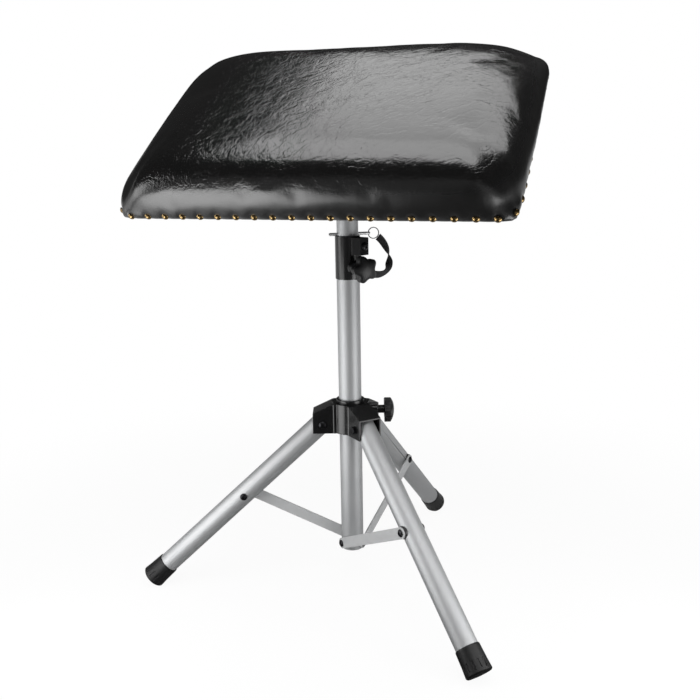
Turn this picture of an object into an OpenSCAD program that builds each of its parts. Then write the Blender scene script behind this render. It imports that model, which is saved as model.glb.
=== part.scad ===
// Tattoo arm rest stand: a padded board on a tilting, swivelling head, a post that slides in a
// column and is held by a pin, and three legs that fold up with a sliding hub.
// Frame: origin on the floor under the column's axis, +Z up, +X to the sitter's right.
// Angles round the column are measured from +X towards +Y.

/* [Column and post] */
// Outside diameter of the column tube
column_od = 30; // [26:0.5:34]
// Wall of the column tube
column_wall = 1.2; // [1:0.1:1.6]
// Length of the column tube
column_l = 422; // [400:1:460]
// Height of the column's lower end above the floor
column_lift = 52; // [46:1:60]
// Wall of the sliding post
post_wall = 1.2; // [1:0.1:1.6]
// Length of the sliding post
post_l = 455; // [440:1:480]
// Length of post that shows above the collar at its lowest setting
post_out = 55; // [50:1:70]
// Distance between two height holes in the post
hole_pitch = 50; // [45:1:52]
// Number of height holes
hole_count = 7; // [5:1:7]

/* [Collar and pin] */
// Length of the collar on the column's upper end
collar_l = 55; // [52:1:60]
// Wall of the collar
collar_wall = 1.2; // [1:0.1:2]
// Length of the collar's lip above the column
collar_lip = 6; // [4:0.5:8]
// Diameter of the height pin
pin_d = 4; // [3.5:0.1:4.5]
// Length of the height pin on its ring's side of the post
pin_ring_side = 30; // [29:0.5:34]
// Length of the height pin on its free side of the post
pin_free_side = 24.5; // [20:0.5:28]
// Direction of the height pin round the column
pin_turn = 15; // [10:1:20]
// Mean radius of the split ring
ring_r = 7; // [6:0.25:8]
// Thickness of the split ring's wire
ring_wire = 1.3; // [1:0.1:1.5]
// Width of the pin's webbing strap
strap_w = 9.5; // [8:0.5:11]
// Thickness of the webbing strap
strap_t = 1.4; // [1:0.1:1.8]

/* [Legs] */
// Outside diameter of a leg tube
leg_od = 27.8; // [24:0.1:29]
// Wall of a leg tube
leg_wall = 1.2; // [1:0.1:1.6]
// Length of a leg from its hub bolt to the end of its foot
leg_l = 329; // [310:1:350]
// Angle between a spread leg and the column
leg_spread = 47.4; // [44:0.1:50]
// Length of leg behind its hub bolt
leg_tail = 8; // [7:0.5:8.5]
// Length of a rubber foot
foot_l = 32; // [28:1:38]
// Radius of a foot at its tread
foot_r = 16.5; // [16.2:0.1:18]
// Radius of a foot at its upper rim
foot_rim_r = 15.1; // [14.9:0.1:15.5]
// How far the foot's rim is flattened by the floor
foot_squash = 0.8; // [0.5:0.1:1.2]

/* [Braces] */
// Distance from a leg's hub bolt to its brace bolt
brace_at = 148; // [140:1:156]
// Height of the brace bolts above the column's lower end
brace_up = 8; // [7.5:0.5:10]
// Width of a brace bar
brace_w = 14.5; // [12:0.5:15]
// Thickness of a brace bar
brace_t = 2; // [1.5:0.1:3]

/* [Hub] */
// Distance of a leg's hub bolt from the column's axis
hub_bolt_r = 37; // [36.5:0.1:39]
// Height of the hub's side walls below the level of its bolts
hub_below = 12; // [10:0.5:14]
// Height of the hub's top above the level of its bolts
hub_above = 28; // [27:0.5:32]
// Outside radius of the hub's cup
hub_cup_r = 24.5; // [24:0.1:26]
// Reach of the hub's leg brackets from the column's axis
hub_reach = 50; // [48:0.5:54]
// Thickness of the hub's sheet walls
hub_sheet = 2; // [1.5:0.1:2.5]
// Fall of the bracket roofs towards their ends, in degrees
hub_roof_fall = 25; // [22:0.5:27]

/* [Knobs] */
// Radius of a star knob over its lobes
knob_r = 17.4; // [15:0.1:18]
// Thickness of a star knob
knob_h = 13; // [11:0.5:15]
// Number of lobes on a star knob
knob_lobes = 5; // [4:1:7]
// Length of the neck under a star knob
knob_neck = 9; // [7:0.5:10]
// Diameter of the clamp screws
screw_d = 6; // [5:0.5:6]

/* [Head] */
// Length of post inside the head's socket
socket_grip = 35; // [30:1:36]
// Wall of the head's socket
socket_wall = 3.2; // [2.5:0.1:4]
// Height of the tilt bolt above the post's upper end
tilt_up = 28; // [27:0.5:34]
// Width of the head's lug between the bracket's cheeks
lug_w = 28; // [24:1:32]
// Radius of the head's lug round the tilt bolt
lug_r = 13; // [11:0.5:14]
// Diameter of the tilt bolt
tilt_bolt_d = 8; // [6:0.5:10]
// Thickness of the bracket's steel
bracket_t = 3; // [2.5:0.1:4]
// Size of the bracket's plate across the pad
plate_w = 90; // [80:1:110]
// Size of the bracket's plate down the pad's slope
plate_d = 70; // [60:1:90]

/* [Pad] */
// Width of the pad at its lower edge
pad_w = 480; // [440:1:520]
// Depth of the pad at its lower edge
pad_d = 297; // [270:1:330]
// Height of the pad at the middle of its crown
pad_h = 79; // [70:1:95]
// Height at which the pad's sides are widest
pad_side_h = 21.5; // [18:0.5:26]
// How far the sides draw in from there to the lower edge
pad_draw_in = 4; // [1:0.1:6]
// Radius of the pad's corners seen from above, where its sides are widest
pad_corner_r = 53; // [30:1:60]
// Radius of the pad's corners at its lower edge
pad_foot_r = 9; // [6:0.5:20]
// Width of the leather folded under the board
hem_w = 25; // [18:1:30]
// Slope of the pad
pad_tilt = 36; // [30:1:38]
// Turn of the pad round the column
pad_yaw = 19.3; // [0:0.1:30]
// Distance from the tilt bolt to the pad's underside
pad_drop = 32; // [30:0.5:38]
// Shift of the board across its bracket
pad_shift_w = -7; // [-12:0.5:12]
// Shift of the board up its slope on its bracket
pad_shift_d = 8.5; // [-12:0.5:12]
// Thickness of the plywood board
board_t = 12; // [11:0.5:15]
// Thickness of the leather cover
cover_t = 1.2; // [1:0.1:1.6]
// Thickness of the dust cloth under the board
cloth_t = 0.8; // [0.6:0.1:1]
// Spacing of the upholstery nails
nail_pitch = 22.9; // [18:0.1:30]
// Diameter of a nail's head
nail_d = 9; // [7:0.5:10]

/* [Hidden] */

$fn = 64;
LEG_A = 180;
LEG_B = -60;
LEG_C = 60;

// Clearances
run_fit = 0.05;      // radial clearance of a sliding or turning fit
loose_fit = 0.1;     // radial clearance of a bolt in its hole
seat_fit = 0.02;     // radial clearance of a piece that stays put
face_gap = 0.3;      // gap between faces that move past each other
layer_gap = 0.1;     // gap between the layers of the pad
over = 4;            // overrun of a cut past its face

// Column, collar and post
column_id = column_od - 2 * column_wall;
column_top = column_lift + column_l;
collar_top = column_top + collar_lip;
collar_z = collar_top - collar_l;
collar_od = column_od + 2 * seat_fit + 2 * collar_wall;
post_od = column_id - 2 * run_fit;
post_id = post_od - 2 * post_wall;
post_top = collar_top + post_out;
post_z = post_top - post_l;
plug_l = 2.5 * brace_up;
pin_z = collar_top + pin_d / 2 + run_fit;
pin_hole_d = pin_d + 2 * loose_fit;
pin_end_flat = ring_wire;
ring_hole_d = ring_wire + pin_end_flat * 2 / 3;
ring_hole_r = pin_ring_side - ring_hole_d - pin_end_flat / 4;
ring_at = ring_hole_r + ring_r;
collar_boss_r = screw_d * 1.4;
collar_boss_out = collar_od / 2 + collar_boss_r * 1.3;
collar_knob_turn = -60;
collar_knob_z = collar_z + collar_l * 0.29;
lug_turn = -45;
lug_h = collar_l * 0.4;
lug_out = collar_od * 0.92;
lug_wide = collar_od * 0.46;
lug_z = collar_top - lug_h / 2 - collar_wall;
lug_screw_d = screw_d * 1.8;

// Spread legs: heights and lengths that follow from the leg's length and angle
foot_edge = foot_l * 0.05;
foot_low = foot_r * sin(leg_spread) - foot_edge * min(sin(leg_spread), cos(leg_spread));
hub_z = leg_l * cos(leg_spread) + foot_low - foot_squash;
brace_z = column_lift + brace_up;
brace_run = hub_bolt_r + brace_at * sin(leg_spread);
brace_rise = hub_z - brace_at * cos(leg_spread) - brace_z;
brace_l = norm([brace_run, brace_rise]);
brace_lean = atan2(brace_run, brace_rise);
brace_in = column_od / 2 + face_gap + loose_fit;
brace_bolt_d = brace_w / 3;
bolt_head_d = brace_bolt_d * 2;
bolt_head_h = brace_bolt_d * 0.6;
saddle_d = brace_w * 1.1;
foot_plate = foot_l / 6;
groove_count = 14;
leg_id = leg_od - 2 * leg_wall;

// Hub
hub_bush_r = column_od / 2 + run_fit;
hub_barrel_in = hub_bush_r + hub_sheet * 0.8;
hub_barrel_out = hub_barrel_in + hub_sheet;
hub_bottom = hub_z - hub_below;
hub_top = hub_z + hub_above;
hub_lip_h = hub_sheet * 2;
cheek_in = leg_od / 2 + face_gap;
cheek_out = cheek_in + hub_sheet;
hub_bolt_d = screw_d;
hub_boss_r = screw_d * 1.5;
hub_boss_out = hub_cup_r + screw_d * 1.9;
hub_knob_z = hub_z + hub_above * 0.58;
roof_z = hub_top - hub_sheet / 2;
roof_in = sqrt(pow(hub_cup_r - hub_sheet, 2) - pow(cheek_in, 2));
hub_bend_r = hub_sheet * 1.1;
hub_bend_at = hub_cup_r * 0.87;
hub_bend_side = cheek_out - hub_bend_r * 0.7;
roof_end_z = roof_z - (hub_reach - hub_cup_r) * tan(hub_roof_fall);

// Knobs and their screws
neck_d = screw_d * 1.4;
knob_core_share = 0.72;
lobe_share = 0.34;
knob_dome = knob_h * 0.3;
knob_set_turn = -18;
insert_d = screw_d * 1.5;
insert_l = screw_d;
tip_gap = loose_fit * 2;

// Head and bracket
socket_in = post_od / 2 + run_fit;
socket_out = socket_in + socket_wall;
socket_z = post_top - socket_grip;
socket_cap = socket_wall * 1.8;
tilt_z = post_top + tilt_up;
head_boss_out = socket_out + screw_d * 1.4;
head_knob_turn = 90;
head_knob_z = socket_z + socket_grip * 0.5;
plate_top = pad_drop - cloth_t - 2 * layer_gap;
plate_low = plate_top - bracket_t;
ear_in = lug_w / 2 + face_gap;
ear_out = ear_in + bracket_t;
plate_screw_d = bracket_t * 1.5;
plate_screw_w_share = 0.39;
plate_screw_d_share = 0.36;
tilt_washer_t = bracket_t / 2;
tilt_head_t = tilt_bolt_d * 0.6;

// Pad layers, as heights above the pad's underside
board_low = cover_t + layer_gap;
board_top = board_low + board_t;
board_edge = cover_t + 2 * layer_gap;
foam_low = board_top + layer_gap;
crown_power_left = 5.5;
crown_power_right = 4;
crown_power_front = 12;
crown_power_back = 8;
crown_fall_power = 1.1;
crown_lean_share = 0.17;
board_corner_share = 0.55;
board_corner_r = pad_corner_r * board_corner_share;
foam_gap = 3 * layer_gap;
rim_mid = (foam_low + pad_side_h) / 2;
nail_up = board_low + board_t / 2;
nail_seat = layer_gap * 3;
nail_dome = nail_d * 0.28;
nail_shank_d = nail_d / 5;
nail_l = nail_d * 1.4;
cell_count_w = 18;
cell_count_d = 12;

// Places round the column
module round_column(turn, out, up) {
    rotate([0, 0, turn]) translate([out, 0, up]) rotate([0, 90, 0]) children();
}

// A leg's own axes: z runs from its hub bolt to its foot, y stays level, x points in and down
module on_leg(turn) {
    rotate([0, 0, turn]) translate([hub_bolt_r, 0, hub_z]) rotate([0, 180 - leg_spread, 0]) children();
}

// A brace's own axes: z runs from its column bolt to its leg bolt, on the leg's clockwise side
module on_brace(turn) {
    rotate([0, 0, turn]) translate([0, 0, brace_z]) rotate([0, brace_lean, 0]) children();
}

// The swivelling head's axes, at the tilt bolt
module on_head() {
    translate([0, 0, tilt_z]) rotate([0, 0, -pad_yaw]) children();
}

// The pad's axes: x across, y up the slope, z out of the board, from the tilt bolt
module on_bracket() {
    on_head() rotate([pad_tilt, 0, 0]) children();
}

module on_pad() {
    on_bracket() translate([pad_shift_w, pad_shift_d, pad_drop]) children();
}

// A tube along z
module tube(out_r, in_r, low, high) {
    difference() {
        translate([0, 0, low]) cylinder(r = out_r, h = high - low);
        translate([0, 0, low - over]) cylinder(r = in_r, h = high - low + 2 * over);
    }
}

// A round hole or bar along x, y or z, centred on the origin
module bar_x(d, l) {
    rotate([0, 90, 0]) cylinder(d = d, h = l, center = true);
}

module bar_y(d, l) {
    rotate([90, 0, 0]) cylinder(d = d, h = l, center = true);
}

// A button head with a six-sided socket: z is out of the face that it sits on
module button_head(d, h) {
    difference() {
        intersection() {
            cylinder(d = d, h = h);
            translate([0, 0, h - d * 0.72]) sphere(d = d * 1.44);
        }
        translate([0, 0, h / 2]) cylinder(d = d * 0.5, h = h, $fn = 6);
    }
}

// A star knob: z runs from its neck's end to its domed face
module star_knob() {
    lobe_r = knob_r * lobe_share;
    difference() {
        union() {
            cylinder(d = neck_d * 1.3, h = knob_neck + knob_dome);
            intersection() {
                translate([0, 0, knob_neck]) linear_extrude(knob_h) union() {
                    circle(r = knob_r * knob_core_share);
                    for (i = [0 : knob_lobes - 1])
                        rotate(knob_set_turn + i * 360 / knob_lobes) translate([knob_r - lobe_r, 0]) circle(r = lobe_r);
                }
                translate([0, 0, knob_neck + knob_h - knob_r * 1.9]) sphere(r = knob_r * 1.9);
            }
        }
        translate([0, 0, -over]) cylinder(d = screw_d + 2 * seat_fit, h = knob_neck + knob_h / 2 + over);
    }
}

// A clamp screw's shank from its tip to inside its knob: z starts at the knob's neck
module clamp_shank(reach) {
    translate([0, 0, -reach]) cylinder(d = screw_d, h = reach + knob_neck + knob_h / 2 - loose_fit);
}

// A brass insert that carries a clamp screw: z starts at its inner face
module clamp_insert() {
    difference() {
        cylinder(d = insert_d, h = insert_l);
        translate([0, 0, -over]) cylinder(d = screw_d + 2 * run_fit, h = insert_l + 2 * over);
    }
}

// Column and what is fixed to it
module column_tube() {
    color("silver") difference() {
        tube(column_od / 2, column_id / 2, column_lift, column_top);
        for (turn = [LEG_A, LEG_B, LEG_C])
            rotate([0, 0, turn]) translate([0, -column_od / 2, brace_z])
                bar_y(brace_bolt_d + 2 * seat_fit, column_od / 2);
        round_column(collar_knob_turn, column_od / 4, collar_knob_z)
            cylinder(d = screw_d + 2 * loose_fit, h = column_od / 2);
    }
}

module column_plug() {
    color("dimgray") difference() {
        translate([0, 0, column_lift]) cylinder(d = column_id - 2 * seat_fit, h = plug_l);
        for (turn = [LEG_A, LEG_B, LEG_C])
            rotate([0, 0, turn]) translate([0, -column_od / 2, brace_z])
                bar_y(brace_bolt_d + 2 * seat_fit, column_od * 0.74);
    }
}

// Three screws that hold the braces' inner ends to the column
module brace_bolts() {
    head_at = brace_in + brace_t + loose_fit;
    for (turn = [LEG_A, LEG_B, LEG_C])
        color("black") rotate([0, 0, turn]) translate([0, -head_at, brace_z]) rotate([90, 0, 0]) {
            button_head(bolt_head_d, bolt_head_h);
            translate([0, 0, column_od * 0.2 - head_at]) cylinder(d = brace_bolt_d, h = head_at - column_od * 0.2);
        }
}

module collar() {
    color("black") difference() {
        union() {
            translate([0, 0, collar_z]) cylinder(d = collar_od, h = collar_l);
            round_column(collar_knob_turn, 0, collar_knob_z) cylinder(r = collar_boss_r, h = collar_boss_out);
            rotate([0, 0, lug_turn]) translate([lug_out / 2, 0, lug_z])
                cube([lug_out, lug_wide, lug_h], center = true);
        }
        translate([0, 0, collar_z - over]) cylinder(d = column_od + 2 * seat_fit, h = column_top - collar_z + over);
        translate([0, 0, collar_z]) cylinder(d = post_od + 2 * run_fit, h = collar_l + over);
        round_column(collar_knob_turn, 0, collar_knob_z) {
            cylinder(d = screw_d + 2 * loose_fit, h = collar_boss_out + over);
            translate([0, 0, collar_boss_out - insert_l])
                cylinder(d = insert_d + 2 * seat_fit, h = insert_l + over);
        }
        round_column(lug_turn, column_od / 2 + collar_wall, lug_z)
            cylinder(d = screw_d + 2 * seat_fit, h = lug_out);
    }
}

module collar_insert() {
    color("goldenrod") round_column(collar_knob_turn, collar_boss_out - insert_l, collar_knob_z) clamp_insert();
}

// Set screw in the collar's lug
module lug_screw() {
    color("black") round_column(lug_turn, lug_out, lug_z) {
        button_head(lug_screw_d, lug_screw_d * 0.3);
        shank_l = lug_out - column_od / 2 - collar_wall - seat_fit;
        translate([0, 0, -shank_l]) cylinder(d = screw_d, h = shank_l);
    }
}

module collar_knob() {
    color("black") round_column(collar_knob_turn, collar_boss_out + face_gap, collar_knob_z) star_knob();
}

module collar_clamp_screw() {
    color("silver") round_column(collar_knob_turn, collar_boss_out + face_gap, collar_knob_z)
        clamp_shank(collar_boss_out + face_gap - post_od / 2 - tip_gap);
}

// Height pin, its ring and the strap that keeps them on the collar
module height_pin() {
    pin_l = pin_ring_side + pin_free_side;
    color("silver") difference() {
        rotate([0, 0, pin_turn]) translate([(pin_ring_side - pin_free_side) / 2, 0, pin_z]) union() {
            bar_x(pin_d, pin_l - pin_d / 2);
            bar_x(pin_d * 0.8, pin_l);
        }
        rotate([0, 0, pin_turn]) translate([ring_hole_r, 0, pin_z]) cylinder(d = ring_hole_d, h = 2 * over, center = true);
    }
}

module split_ring() {
    color("silver") rotate([0, 0, pin_turn]) translate([ring_at, 0, pin_z]) rotate([90, 0, 0])
        rotate_extrude() translate([ring_r, 0]) circle(d = ring_wire, $fn = 24);
}

// The strap's line: from the ring's lower right, round in a slack bow, to its eye behind the knob
strap_leave_angle = 40;
strap_step_count = 24;
pin_dir = [cos(pin_turn), sin(pin_turn), 0];
ring_dir = pin_dir * cos(strap_leave_angle) - [0, 0, sin(strap_leave_angle)];
ring_along = pin_dir * sin(strap_leave_angle) + [0, 0, cos(strap_leave_angle)];
strap_start = pin_dir * ring_at + [0, 0, pin_z] + ring_dir * (ring_r + ring_wire / 2 + face_gap);
eye_dir = [cos(collar_knob_turn), sin(collar_knob_turn), 0];
eye_side = [-sin(collar_knob_turn), cos(collar_knob_turn), 0];
eye_hole_d = neck_d * 1.3 + 2 * face_gap;
eye_d = eye_hole_d + strap_w * 0.6;
eye_at = eye_dir * (collar_boss_out + 2 * face_gap + strap_t / 2) + [0, 0, collar_knob_z];
eye_leave = eye_side * cos(27) - [0, 0, sin(27)];
strap_end = eye_at + eye_leave * (eye_hole_d / 2 + strap_t);
strap_bow = 4 * ring_r;
strap_slack = 7.7 * ring_r;
strap_turn_over = [0.3, 1, 0];
function bezier(a, b, c, d, t) = a * pow(1 - t, 3) + b * 3 * t * pow(1 - t, 2) + c * 3 * t * t * (1 - t) + d * t * t * t;
function strap_point(t) = bezier(strap_start, strap_start + ring_dir * strap_bow,
    strap_end + eye_leave * strap_slack, strap_end, t);
function unit(v) = v / norm(v);
function strap_heading(t) = unit(strap_point(min(t + 0.01, 1)) - strap_point(max(t - 0.01, 0)));
function strap_hint(t) = ring_along * pow(1 - t, 2) + strap_turn_over * 2 * t * (1 - t)
    + cross(eye_dir, eye_leave) * -1 * t * t;
function strap_flat(t) = unit(strap_hint(t) - strap_heading(t) * (strap_hint(t) * strap_heading(t)));
// The strap is twisted half round between its ends
function strap_twist(t) = let (k = min(max((t - 0.12) / 0.7, 0), 1)) 180 * k * k * (3 - 2 * k);
function across(t) = strap_flat(t) * cos(strap_twist(t)) + cross(strap_heading(t), strap_flat(t)) * sin(strap_twist(t));
function strap_ring(t) = let (c = strap_point(t), b = across(t) * strap_w / 2,
    n = cross(strap_heading(t), across(t)) * strap_t / 2) [c - b - n, c + b - n, c + b + n, c - b + n];

module pin_strap() {
    rings = [for (i = [0 : strap_step_count]) strap_ring(i / strap_step_count)];
    points = [for (r = rings) each r];
    last = 4 * strap_step_count;
    faces = concat(
        [[0, 1, 2], [0, 2, 3]],
        [[last + 2, last + 1, last], [last + 3, last + 2, last]],
        [for (i = [0 : strap_step_count - 1], k = [0 : 3]) let (a = 4 * i + k, b = 4 * i + (k + 1) % 4)
            each [[a, a + 4, b + 4], [a, b + 4, b]]]);
    color("black") {
        difference() {
            union() {
                polyhedron(points, faces);
                translate(eye_at - eye_dir * strap_t / 2) rotate([0, 0, collar_knob_turn])
                    rotate([0, 90, 0]) cylinder(d = eye_d, h = strap_t, $fn = 32);
            }
            translate(eye_at - eye_dir * strap_t) rotate([0, 0, collar_knob_turn])
                rotate([0, 90, 0]) cylinder(d = eye_hole_d, h = 2 * strap_t, $fn = 32);
        }
    }
}

// Hub: a cup with a barrel for the column, three leg brackets and a boss for its knob
module hub_spider() {
    cup_h = hub_top - hub_bottom;
    color("black") difference() {
        union() {
            difference() {
                union() {
                    translate([0, 0, hub_bottom]) cylinder(r = hub_cup_r, h = cup_h);
                    round_column(0, 0, hub_knob_z) cylinder(r = hub_boss_r, h = hub_boss_out);
                }
                translate([0, 0, hub_bottom - over])
                    cylinder(r = hub_cup_r - hub_sheet, h = cup_h - hub_sheet + over);
            }
            translate([0, 0, hub_bottom]) cylinder(r = hub_barrel_out, h = cup_h + hub_lip_h);
            round_column(0, hub_barrel_in, hub_knob_z) cylinder(r = hub_boss_r, h = hub_cup_r - hub_barrel_in);
            for (turn = [LEG_A, LEG_B, LEG_C]) rotate([0, 0, turn]) leg_bracket();
        }
        for (turn = [LEG_A, LEG_B, LEG_C]) rotate([0, 0, turn]) {
            leg_slot();
            translate([hub_bolt_r, 0, hub_z]) bar_y(hub_bolt_d + 2 * seat_fit, 2 * cheek_out + over);
        }
        translate([0, 0, hub_bottom - over]) cylinder(r = hub_barrel_in, h = cup_h + hub_lip_h + 2 * over);
        round_column(0, 0, hub_knob_z) {
            cylinder(d = screw_d + 2 * loose_fit, h = hub_boss_out + over);
            translate([0, 0, hub_boss_out - insert_l]) cylinder(d = insert_d + 2 * seat_fit, h = insert_l + over);
        }
    }
}

// One bracket: two cheeks with a sloping roof
module leg_bracket() {
    rotate([90, 0, 0]) linear_extrude(2 * cheek_out, center = true) polygon([
        [roof_in, hub_bottom], [hub_reach, hub_bottom], [hub_reach, roof_end_z], [hub_cup_r, roof_z], [roof_in, roof_z]]);
    // The rolled bends where the cheeks leave the cup
    for (side = [-1, 1]) translate([hub_bend_at, side * hub_bend_side, hub_bottom])
        cylinder(r = hub_bend_r, h = hub_top - hub_bottom - hub_sheet / 4);
}

// The space in a bracket that its leg swings in
module leg_slot() {
    low = hub_bottom - over;
    rotate([90, 0, 0]) linear_extrude(2 * cheek_in, center = true) polygon([
        [hub_barrel_out, low], [hub_reach + over, low],
        [hub_reach + over, roof_end_z - hub_sheet - over * tan(hub_roof_fall)],
        [hub_cup_r, roof_z - hub_sheet], [hub_barrel_out, roof_z - hub_sheet]]);
}

module hub_bushing() {
    color("gainsboro") difference() {
        tube(hub_barrel_in - seat_fit, hub_bush_r, hub_bottom, hub_top + hub_lip_h);
        round_column(0, 0, hub_knob_z) cylinder(d = screw_d + 2 * loose_fit, h = hub_cup_r);
    }
}

module hub_insert() {
    color("goldenrod") round_column(0, hub_boss_out - insert_l, hub_knob_z) clamp_insert();
}

module hub_bolts() {
    for (turn = [LEG_A, LEG_B, LEG_C])
        color("black") rotate([0, 0, turn]) translate([hub_bolt_r, cheek_out, hub_z]) rotate([-90, 0, 0]) {
            button_head(hub_bolt_d * 1.7, hub_bolt_d / 2);
            translate([0, 0, -2 * cheek_out - hub_bolt_d * 0.6]) cylinder(d = hub_bolt_d, h = 2 * cheek_out + hub_bolt_d * 0.6);
        }
}

module hub_nuts() {
    for (turn = [LEG_A, LEG_B, LEG_C])
        color("black") rotate([0, 0, turn]) translate([hub_bolt_r, -cheek_out, hub_z]) rotate([90, 0, 0])
            difference() {
                cylinder(d = hub_bolt_d * 1.7, h = hub_bolt_d * 0.6, $fn = 6);
                translate([0, 0, -over]) cylinder(d = hub_bolt_d + 2 * seat_fit, h = 3 * over);
            }
}

module hub_knob() {
    color("black") round_column(0, hub_boss_out + face_gap, hub_knob_z) star_knob();
}

module hub_clamp_screw() {
    color("silver") round_column(0, hub_boss_out + face_gap, hub_knob_z)
        clamp_shank(hub_boss_out + face_gap - column_od / 2 - tip_gap);
}

// Legs
module leg_tube(turn) {
    color("silver") on_leg(turn) difference() {
        tube(leg_od / 2, leg_id / 2, -leg_tail, leg_l - foot_plate);
        bar_y(hub_bolt_d + 2 * loose_fit, leg_od + over);
        translate([0, 0, brace_at]) bar_y(brace_bolt_d + 2 * seat_fit, leg_od + over);
    }
}

module leg_plug(turn) {
    color("black") on_leg(turn) translate([0, 0, -leg_tail]) union() {
        cylinder(d = leg_id - 2 * seat_fit, h = leg_tail - hub_bolt_d * 0.7);
        translate([0, 0, -leg_wall]) cylinder(d = leg_od - leg_wall, h = leg_wall);
    }
}

// Rubber foot: a cup over the leg's end, smooth above and grooved below, flat where it stands
module leg_foot(turn) {
    tread = foot_l * 0.42;
    edge = foot_edge;
    color("black") difference() {
        on_leg(turn) difference() {
            translate([0, 0, leg_l]) rotate([180, 0, 0]) rotate_extrude() polygon([
                [0, 0], [foot_r - edge, 0], [foot_r, edge], [foot_r - edge / 2, tread],
                [foot_rim_r, foot_l - edge], [foot_rim_r - edge / 4, foot_l], [0, foot_l]]);
            translate([0, 0, leg_l - foot_l - over])
                cylinder(d = leg_od + 2 * seat_fit, h = foot_l + over - foot_plate);
            for (i = [0 : groove_count - 1]) rotate([0, 0, (i + 0.5) * 360 / groove_count])
                translate([foot_r, 0, leg_l - tread / 2 - 2 * edge]) cube([edge * 1.6, edge * 1.2, tread - 2 * edge], center = true);
        }
        translate([0, 0, -foot_l]) cube([4 * leg_l, 4 * leg_l, 2 * foot_l], center = true);
    }
}

// Shaped block between a leg and its brace
module leg_saddle(turn) {
    color("black") on_leg(turn) difference() {
        translate([0, -brace_in + face_gap, brace_at]) rotate([-90, 0, 0])
            cylinder(d = saddle_d, h = brace_in - face_gap - leg_od * 0.3);
        translate([0, 0, brace_at]) cylinder(d = leg_od + 2 * seat_fit, h = 2 * saddle_d, center = true);
        translate([0, -leg_od / 2, brace_at]) bar_y(brace_bolt_d + 2 * seat_fit, leg_od / 2);
    }
}

// Bolt through a leg into its saddle, with a round head on the far side
module leg_bolt(turn) {
    color("black") on_leg(turn) translate([0, leg_od / 2, brace_at]) rotate([-90, 0, 0]) {
        button_head(bolt_head_d, bolt_head_h);
        shank_l = leg_od / 2 + brace_in - 2 * face_gap;
        translate([0, 0, -shank_l]) cylinder(d = brace_bolt_d, h = shank_l);
    }
}

// Braces
module brace_bar(turn) {
    color("darkgray") on_brace(turn) translate([0, -brace_in - brace_t / 2, 0]) difference() {
        union() {
            translate([0, 0, brace_l / 2]) cube([brace_w, brace_t, brace_l], center = true);
            bar_y(brace_w, brace_t);
            translate([0, 0, brace_l]) bar_y(brace_w, brace_t);
        }
        bar_y(brace_bolt_d + 2 * loose_fit, brace_t + over);
        translate([0, 0, brace_l]) bar_y(brace_bolt_d + 2 * seat_fit, brace_t + over);
    }
}

module brace_screw(turn) {
    color("black") on_brace(turn) translate([0, -brace_in - brace_t, brace_l]) rotate([90, 0, 0]) {
        button_head(bolt_head_d, bolt_head_h);
        translate([0, 0, -brace_t]) cylinder(d = brace_bolt_d, h = brace_t);
    }
}

// Sliding post
module post_tube() {
    color("silver") difference() {
        tube(post_od / 2, post_id / 2, post_z, post_top);
        for (i = [0 : hole_count - 1])
            rotate([0, 0, pin_turn]) translate([0, 0, pin_z - i * hole_pitch]) bar_x(pin_hole_d, post_od + over);
    }
}

module post_plug() {
    flange = post_wall * 2;
    color("dimgray") translate([0, 0, post_z - flange]) union() {
        cylinder(d = post_od - 2 * run_fit, h = flange);
        cylinder(d = post_id - 2 * seat_fit, h = flange + post_od / 2);
    }
}

// Head: a socket over the post, with a lug for the tilt bolt
module head_socket() {
    cap_top = post_top + face_gap + socket_cap;
    color("black") difference() {
        union() {
            translate([0, 0, socket_z]) cylinder(r = socket_out, h = cap_top - socket_z);
            rotate([0, 0, -pad_yaw]) {
                translate([0, 0, (post_top + tilt_z) / 2]) cube([lug_w, 2 * lug_r * 0.9, tilt_z - post_top], center = true);
                translate([0, 0, tilt_z]) bar_x(2 * lug_r, lug_w);
                round_column(head_knob_turn, 0, head_knob_z) cylinder(r = collar_boss_r, h = head_boss_out);
            }
        }
        translate([0, 0, socket_z - over]) cylinder(r = socket_in, h = socket_grip + face_gap + over);
        rotate([0, 0, -pad_yaw]) {
            translate([0, 0, tilt_z]) bar_x(tilt_bolt_d + 2 * loose_fit, lug_w + over);
            round_column(head_knob_turn, 0, head_knob_z) {
                cylinder(d = screw_d + 2 * loose_fit, h = head_boss_out + over);
                translate([0, 0, head_boss_out - insert_l]) cylinder(d = insert_d + 2 * seat_fit, h = insert_l + over);
            }
        }
    }
}

module head_insert() {
    color("goldenrod") round_column(head_knob_turn - pad_yaw, head_boss_out - insert_l, head_knob_z) clamp_insert();
}

module head_knob() {
    color("black") round_column(head_knob_turn - pad_yaw, head_boss_out + face_gap, head_knob_z) star_knob();
}

module head_clamp_screw() {
    color("silver") round_column(head_knob_turn - pad_yaw, head_boss_out + face_gap, head_knob_z)
        clamp_shank(head_boss_out + face_gap - post_od / 2 - tip_gap);
}

// Tilt bracket: a plate under the board and two ears for the tilt bolt
module tilt_bracket() {
    color("dimgray") on_bracket() difference() {
        union() {
            translate([0, 0, plate_top - bracket_t / 2]) cube([plate_w, plate_d, bracket_t], center = true);
            for (side = [-1, 1]) translate([side * (ear_in + ear_out) / 2, 0, 0]) {
                bar_x(2 * lug_r, bracket_t);
                translate([0, 0, plate_top / 2]) cube([bracket_t, 2 * lug_r, plate_top], center = true);
            }
        }
        bar_x(tilt_bolt_d + 2 * seat_fit, 3 * plate_w);
        at_plate_screws() cylinder(d = plate_screw_d + 2 * seat_fit, h = 2 * pad_drop, center = true);
    }
}

module at_plate_screws() {
    for (i = [-1, 1], j = [-1, 1])
        translate([i * plate_w * plate_screw_w_share, j * plate_d * plate_screw_d_share, 0]) children();
}

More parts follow.
